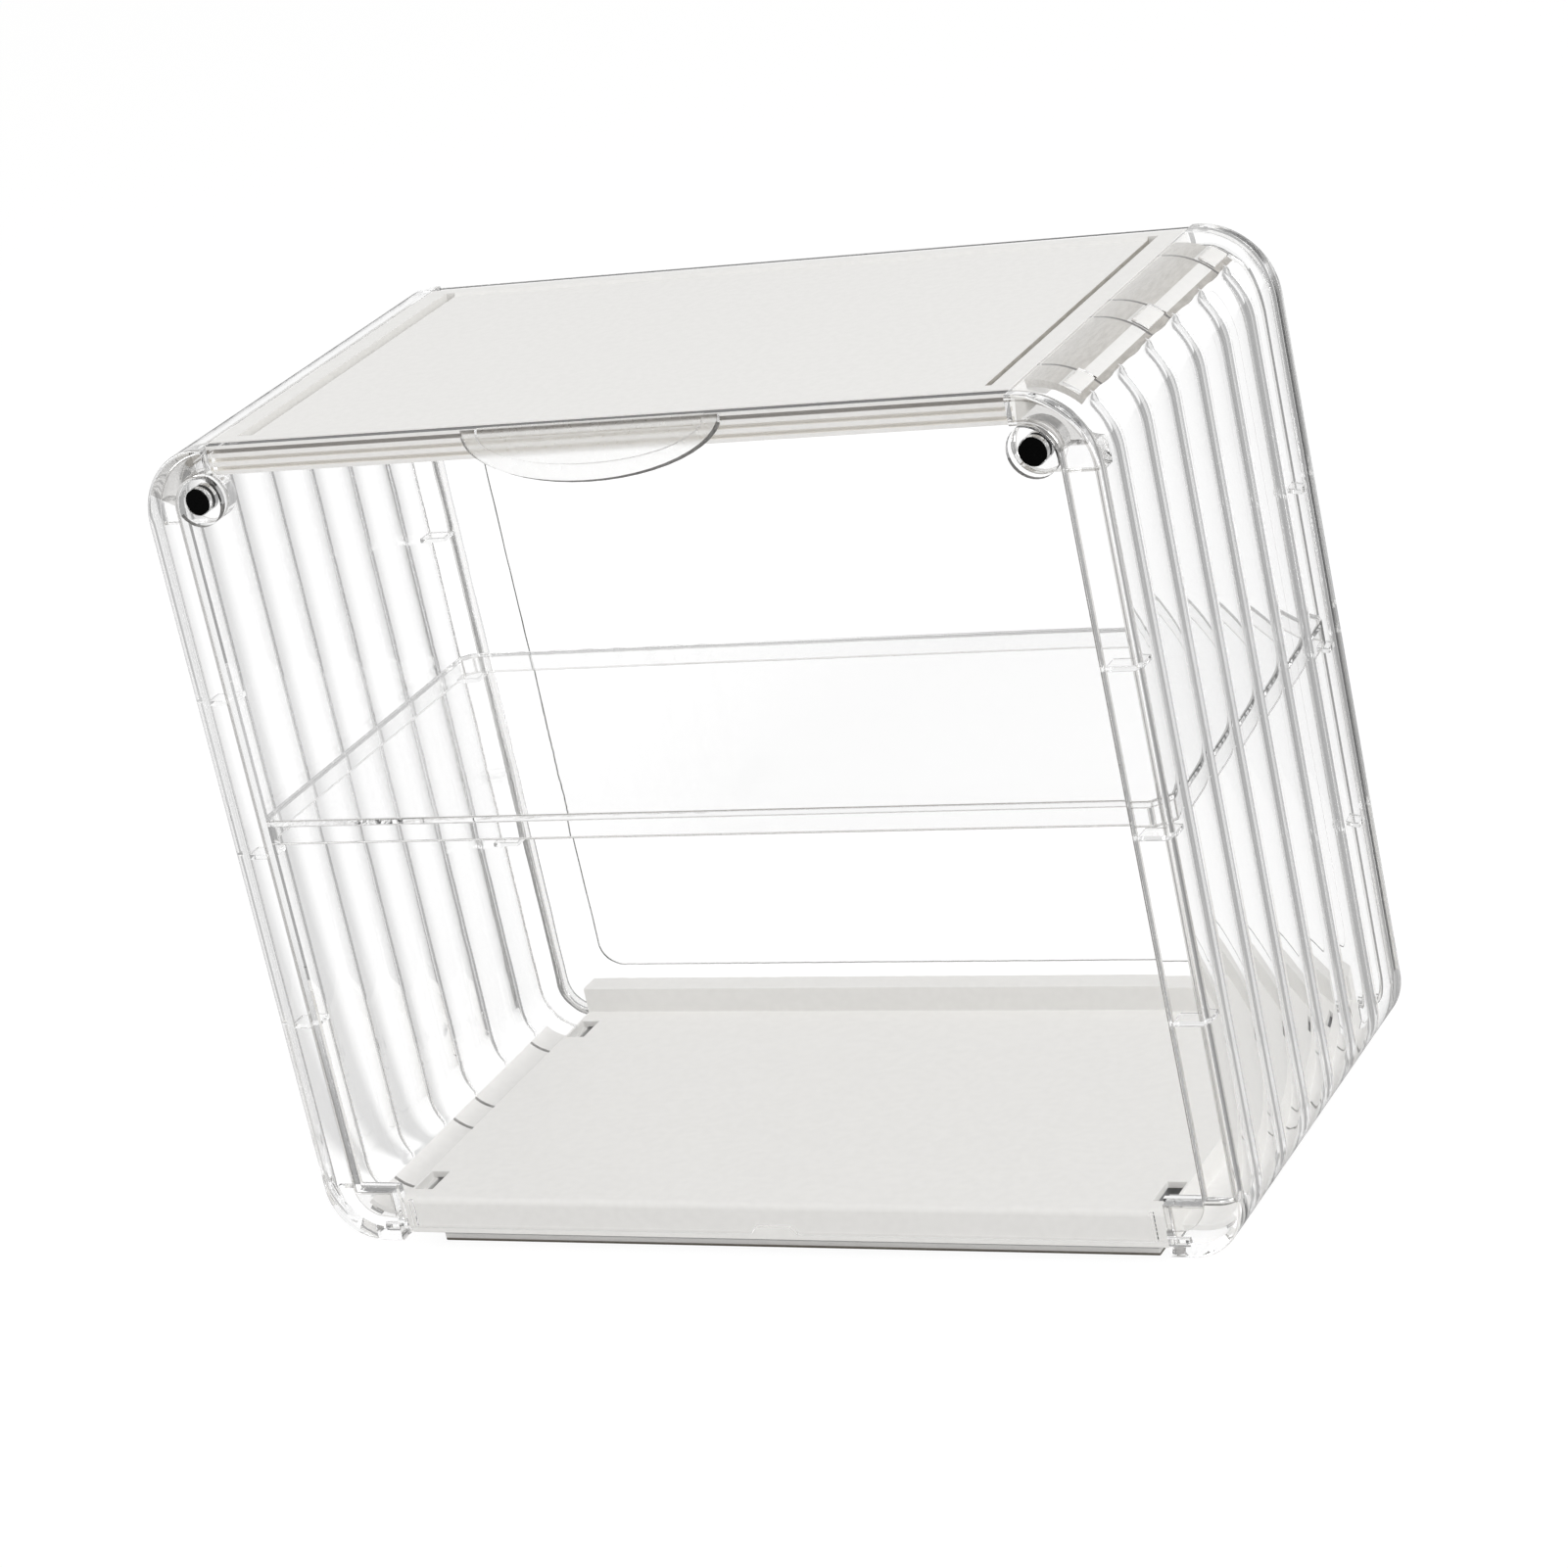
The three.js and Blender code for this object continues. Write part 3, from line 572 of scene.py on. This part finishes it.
def side_webs():
    """Web behind the magnet lug, and the shelf rests on both posts."""
    bm = bmesh.new()
    box_into(bm, WEB_LOW, WEB_HIGH, LUG_ROUNDING)
    for top in REST_TOPS:
        for near, far in ((REST_FRONT, REST_REAR), (DEPTH - REST_REAR, DEPTH - REST_FRONT)):
            box_into(bm, (JAMB + GAP, near, top - REST_THICKNESS), (REST_OUTER, far, top), REST_ROUNDING)
    return bm


def side_cuts():
    """Magnet pocket, hinge bore and snap windows."""
    bm = bmesh.new()
    slab_into(bm, disc_outline(MAGNET_X, MAGNET_Z, POCKET_RADIUS), POCKET_FRONT, POCKET_REAR)
    bore = bmesh.ops.create_cone(bm, cap_ends=True, segments=BORE_SIDES, radius1=BORE_RADIUS * MM,
                                 radius2=BORE_RADIUS * MM, depth=BORE_LENGTH * MM)["verts"]
    bmesh.ops.rotate(bm, verts=bore, cent=(0, 0, 0), matrix=Matrix.Rotation(math.pi / 2, 3, "Y"))
    bmesh.ops.translate(bm, verts=bore, vec=put(BORE_X, HINGE_Y, HINGE_Z))
    angles = list(range(WINDOW_START, WINDOW_END + 1, WINDOW_TURN))
    for up, radius, cx, cz in CORNERS:
        over, under = radius + WINDOW_OVER, radius - SKIN - WINDOW_UNDER
        outline = [around(cx, cz, over, up, a) for a in angles]
        outline += [around(cx, cz, under, up, a) for a in reversed(angles)]
        for low, high in WINDOW_SPANS:
            slab_into(bm, outline, DEPTH / 2 + low, DEPTH / 2 + high)
    return bm


def side_panels():
    right = to_object("right_side", swept_side(), CLEAR)
    combine(right, to_object("features", side_features(), CLEAR), "UNION")
    combine(right, to_object("webs", side_webs(), CLEAR), "UNION")
    combine(right, to_object("cuts", side_cuts(), CLEAR), "DIFFERENCE")
    left = bpy.data.objects.new("left_side", right.data.copy())
    scene.collection.objects.link(left)
    left.data.transform(Matrix.Scale(-1, 4, (1, 0, 0)))
    left.data.flip_normals()
    for obj in (right, left):
        shade(obj)
        even_normals(obj)
        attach(obj, "case")
    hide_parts("right_side_panel")
    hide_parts("left_side_panel")


def pull_field():
    """The hollow of the finger pull, inside its raised rim."""
    turns = [math.pi * i / FIELD_STEPS for i in range(FIELD_STEPS + 1)]
    outline = [(FIELD_HALF * math.cos(turn), FIELD_START - FIELD_REACH * math.sin(turn)) for turn in turns]
    outline = [(FIELD_HALF, FIELD_LEAD), *outline, (-FIELD_HALF, FIELD_LEAD)]
    sine, cosine = math.sin(PULL_LEAN), math.cos(PULL_LEAN)
    rings = [[put(x, PULL_ROOT + along * cosine - depth * sine, PULL_TOP + along * sine + depth * cosine)
              for x, along in outline] for depth in (FIELD_FLOOR, FIELD_OPEN)]
    bm = bmesh.new()
    prism_into(bm, *rings)
    return bm


def everywhere(_y, _z):
    return True


def base_front_edge(y, z):
    return abs(y - PANEL_FRONT) < TOUCH and abs(z - FLOOR_HEIGHT) < TOUCH


def door_front(y, _z):
    return y < DOOR_FRONT


def weigh_edges(obj, wide, fine):
    """Sharp edges get a bevel: a wide one where asked, and a finer one elsewhere."""
    bm = bmesh.new()
    bm.from_mesh(obj.data)
    layer = bm.edges.layers.float.new("bevel_weight_edge")
    for edge in bm.edges:
        if edge.is_manifold and edge.calc_face_angle() > math.radians(SHARP_ANGLE):
            middle = (edge.verts[0].co + edge.verts[1].co) / 2 / MM
            edge[layer] = 1.0 if wide(middle.y - FRONT, middle.z) else fine
    bm.to_mesh(obj.data)
    bm.free()


def between_tongues(face, place):
    """Whether a face closes the end of a tongue towards the next one."""
    return abs(face.normal.y) > STEEP and abs(place.y - DEPTH / 2) < INNER_TONGUES


def shade_tongues(obj):
    """Painted shade where the tongues lie under the lip beside the snap windows, and a painted shadow in the
    gaps between them.
    """
    for face in obj.data.polygons:
        place = local(face)
        x, z = abs(place.x) - HALF + TOP_RADIUS, place.z - HEIGHT + TOP_RADIUS
        angle = math.degrees(math.atan2(x, z))
        covered = math.hypot(x, z) < TOP_RADIUS - SKIN + TOUCH
        if abs(place.x) < SEAM - SEAM_MARGIN or z < 0:
            continue
        if between_tongues(face, place):
            paint(obj, face, SHADOW)
        elif covered and angle > WINDOW_END:
            paint(obj, face, TAIL)
        elif covered and angle < WINDOW_START:
            paint(obj, face, SHADED)


def shade_grooves(obj):
    """Painted shade in brown on the inner walls of the grooves beside the recess, and on the right one's
    floor.
    """
    for face in obj.data.polygons:
        place = local(face)
        beside = abs(abs(place.x) - GROOVE_INNER) < WALL_MARGIN
        inner_wall = beside and abs(face.normal.x) > SLOPED
        inner_wall = inner_wall and GROOVE_FLOOR + TOUCH < place.z < RECESS_LEVEL - LEVEL_MARGIN
        right_floor = GROOVE_INNER - SEAM_MARGIN < place.x < GROOVE_OUTER + SEAM_MARGIN
        right_floor = right_floor and abs(place.z - GROOVE_FLOOR) < FLOOR_MARGIN and face.normal.z > STEEP
        if inner_wall or right_floor:
            paint(obj, face, SHADED)


def shade_reeds(obj):
    """Painted shade in the reeds along the front rail, dark at the top and paler than the white below."""
    for face in obj.data.polygons:
        place = local(face)
        on_rail = REED_LOW < place.z < REED_HIGH and abs(place.x) < REED_HALF
        if on_rail and REED_FRONT < place.y < REED_REAR:
            paint(obj, face, REED)


def shade_base(obj):
    """Painted light on the tongues, painted shade in the gaps between them, and on the foot a painted shadow
    at the ground and under the tray with painted light between.
    """
    for face in obj.data.polygons:
        place = local(face)
        lowest = min(obj.data.vertices[v].co.z for v in face.vertices) / MM
        if lowest < FOOT_MARGIN and face.normal.z > -LEVEL:
            paint(obj, face, FOOT)
        elif abs(place.x) > SEAM - SEAM_MARGIN and place.z < LIFT + BOTTOM_RADIUS:
            paint(obj, face, FAINT if between_tongues(face, place) else BRIGHT)


def frost_and_shade_pull(obj):
    """Satin faces on the finger pull, and painted shade on its walls: dark on the outer rim and fainter on
    the inner one.
    """
    for face in obj.data.polygons:
        place = local(face)
        if place.y > PULL_REAR or abs(place.x) > PULL_HALF + PULL_MARGIN or place.z < PULL_LOW:
            continue
        down = (PULL_TOP - place.z) / math.sin(PULL_LEAN)
        reach = math.hypot(place.x / PULL_HALF, down / PULL_REACH)
        if abs(face.normal.dot(PULL_FACING)) < UPRIGHT and down > PULL_NECK:
            paint(obj, face, CONTOUR if reach > OUTER_RIM else FAINT)
        elif face.material_index == CLEAR_SLOT:
            paint(obj, face, SATIN)


def shade_bosses(obj):
    """Painted shade: dark lower rims on the two bosses around the door's magnets."""
    for face in obj.data.polygons:
        place = local(face)
        x, z = abs(place.x) - MAGNET_X, place.z - MAGNET_Z
        wall = abs(math.hypot(x, z) - LUG_RADIUS) < RIM_MARGIN and abs(face.normal.y) < UPRIGHT
        if wall and z < -RIM_MARGIN and place.y < DOOR_REAR:
            paint(obj, face, CONTOUR)


def dressed(node, body, material, bevel, segments=2, cut=None, wide=everywhere, fine=1, clamp=True):
    """Copy of a CAD piece with welded faces and softened edges."""
    bm = bmesh.new()
    bm.from_mesh(frame["nodes"][node].data)
    bmesh.ops.remove_doubles(bm, verts=bm.verts, dist=WELD)
    bmesh.ops.dissolve_limit(bm, angle_limit=math.radians(MERGE_ANGLE), verts=bm.verts, edges=bm.edges)
    obj = to_object(node + "_moulding", bm, material)
    if cut:
        combine(obj, to_object("cut", cut(), material), "DIFFERENCE")
    weigh_edges(obj, wide, fine)
    modifier = obj.modifiers.new("bevel", "BEVEL")
    modifier.width = bevel * MM
    modifier.segments = segments
    modifier.limit_method = "WEIGHT"
    modifier.use_clamp_overlap = clamp
    # Bevels on clear pieces take the edge tint, a painted shade.
    modifier.material = EDGE_SLOT if material == CLEAR else -1
    bake_modifiers(obj)
    shade(obj)
    even_normals(obj)
    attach(obj, body)
    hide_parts(node)
    return obj


def top_panel():
    obj = dressed("top_panel", "case", WHITE, bevel=0.35)
    shade_tongues(obj)
    shade_grooves(obj)
    shade_reeds(obj)


def base_panel():
    obj = dressed("base_panel", "case", WHITE, bevel=2.2, segments=4,
                  wide=base_front_edge, fine=0.16, clamp=False)
    shade_base(obj)


def back_panel():
    obj = dressed("back_panel", "case", CLEAR, bevel=0.3)
    # The back panel's bevels take the rim tint, a painted shade.
    obj.data.materials[EDGE_SLOT] = RIM


def front_door():
    obj = dressed("front_door", "door", CLEAR, bevel=1.2, segments=4,
                  cut=pull_field, wide=door_front, fine=0.58)
    frost_and_shade_pull(obj)
    shade_bosses(obj)


def magnets():
    for name, obj in frame["nodes"].items():
        if "magnet" in name:
            obj.data.materials.clear()
            obj.data.materials.append(BLACK)


def let_light_through():
    """Clear pieces cast no shadow, because the light of the room passes them."""
    for obj in scene.objects:
        if obj.type == "MESH" and obj.data.materials and obj.data.materials[0] == CLEAR:
            obj.visible_shadow = False
            obj.visible_diffuse = False


def seen_and_fade(tree, first, shade=0):
    """What sees the white background, and how grey that is after a reflection."""
    path = tree.nodes.new("ShaderNodeLightPath")
    depth = path.outputs["Glossy Depth"]
    reflected = maths(tree, "MINIMUM", depth, 1.0)
    grey = maths(tree, "MULTIPLY_ADD", maths(tree, "SUBTRACT", depth, 1.0), BOUNCE_GAIN, first)
    gain = maths(tree, "SUBTRACT", PANE_GAIN, shade)
    through = maths(tree, "MULTIPLY_ADD", path.outputs["Is Transmission Ray"], gain, 1.0)
    after = maths(tree, "MINIMUM", grey, 1.0)
    fade = maths(tree, "MULTIPLY_ADD", reflected, maths(tree, "SUBTRACT", after, through), through)
    seen = maths(tree, "MAXIMUM", path.outputs["Is Glossy Ray"], path.outputs["Is Transmission Ray"])
    return maths(tree, "MAXIMUM", seen, path.outputs["Is Camera Ray"]), fade


def world_light():
    world = bpy.data.worlds.new("studio")
    scene.world = world
    world.use_nodes = True
    tree = world.node_tree
    seen, fade = seen_and_fade(tree, SKY_REFLECTION)
    rise = maths(tree, "MAXIMUM", axes(tree, "Generated")["Z"], 0.0)
    ambient = mix_colour(tree, rise, HORIZON, ZENITH)
    colour = mix_colour(tree, seen, ambient, PURE_WHITE)
    strength = maths(tree, "MULTIPLY_ADD", seen, maths(tree, "SUBTRACT", fade, 1.0), 1.0)
    tree.links.new(colour, tree.nodes["Background"].inputs["Color"])
    tree.links.new(strength, tree.nodes["Background"].inputs["Strength"])


def floor_material():
    """White ground that shows as the background, and in reflections is bright only ahead on the left; seen
    through the clear pieces it carries a painted shade to the left of the case.
    """
    material = bpy.data.materials.new("floor")
    material.use_nodes = True
    tree = material.node_tree
    tree.nodes.clear()
    out = tree.nodes.new("ShaderNodeOutputMaterial")
    mix = tree.nodes.new("ShaderNodeMixShader")
    diffuse = tree.nodes.new("ShaderNodeBsdfDiffuse")
    diffuse.inputs["Color"].default_value = PURE_WHITE
    glow = tree.nodes.new("ShaderNodeEmission")
    glow.inputs["Color"].default_value = PURE_WHITE
    place = axes(tree, "Object")
    ahead = map_range(tree, place["Y"], AHEAD_NEAR, AHEAD_FAR, FRONT_REFLECTION - BACK_REFLECTION, 0)
    aside = map_range(tree, place["X"], ASIDE_FAR, ASIDE_NEAR, 1, 0)
    first = maths(tree, "MULTIPLY_ADD", ahead, aside, BACK_REFLECTION)
    leftward = maths(tree, "SUBTRACT", -HALF * MM, place["X"])
    turn = maths(tree, "ARCTAN2", leftward, place["Y"])
    dark = map_range(tree, turn, SHADE_START, SHADE_FULL, 0, LEFT_SHADE)
    light = map_range(tree, turn, SHADE_FADE, SHADE_END, 1, 0)
    seen, fade = seen_and_fade(tree, first, maths(tree, "MULTIPLY", dark, light))
    tree.links.new(maths(tree, "MULTIPLY", fade, WHITE_LEVEL), glow.inputs["Strength"])
    tree.links.new(maths(tree, "MULTIPLY", seen, FLOOR_GLOW), mix.inputs["Fac"])
    tree.links.new(diffuse.outputs[0], mix.inputs[1])
    tree.links.new(glow.outputs[0], mix.inputs[2])
    tree.links.new(mix.outputs[0], out.inputs["Surface"])
    return material


def floor():
    bpy.ops.mesh.primitive_plane_add(size=FLOOR_SIZE)
    plane = bpy.context.object
    plane.name = "floor"
    plane.data.materials.append(floor_material())


def lamp(name, place, size, energy):
    light = bpy.data.lights.new(name, "AREA")
    light.size = size
    light.energy = energy
    obj = bpy.data.objects.new(name, light)
    scene.collection.objects.link(obj)
    obj.location = place
    obj.rotation_euler = (LAMP_AIM - Vector(place)).to_track_quat("-Z", "Y").to_euler()


def camera():
    level = math.cos(ELEVATION)
    back = Vector((math.sin(AZIMUTH) * level, -math.cos(AZIMUTH) * level, math.sin(ELEVATION)))
    right = (-back).cross(Vector((0, 0, 1))).normalized()
    up = right.cross(-back)
    side = math.cos(ROLL) * right + math.sin(ROLL) * up
    top = -math.sin(ROLL) * right + math.cos(ROLL) * up
    data = bpy.data.cameras.new("camera")
    data.sensor_width = SENSOR
    data.lens = FOCAL_PIXELS / IMAGE_PIXELS * SENSOR
    data.clip_end = CLIP_END
    obj = bpy.data.objects.new("camera", data)
    scene.collection.objects.link(obj)
    turn = Matrix((side, top, back)).transposed().to_4x4()
    obj.matrix_world = Matrix.Translation(put(*CAMERA_PLACE)) @ turn
    scene.camera = obj


side_panels()
top_panel()
base_panel()
back_panel()
front_door()
dressed("shelf", "shelf", CLEAR, bevel=0.35, segments=3)
magnets()
let_light_through()
world_light()
floor()
lamp("left", place=(-1.7, -0.5, 1.15), size=0.9, energy=12)
lamp("right", place=(1.9, -0.4, 1.15), size=1.2, energy=22)
camera()
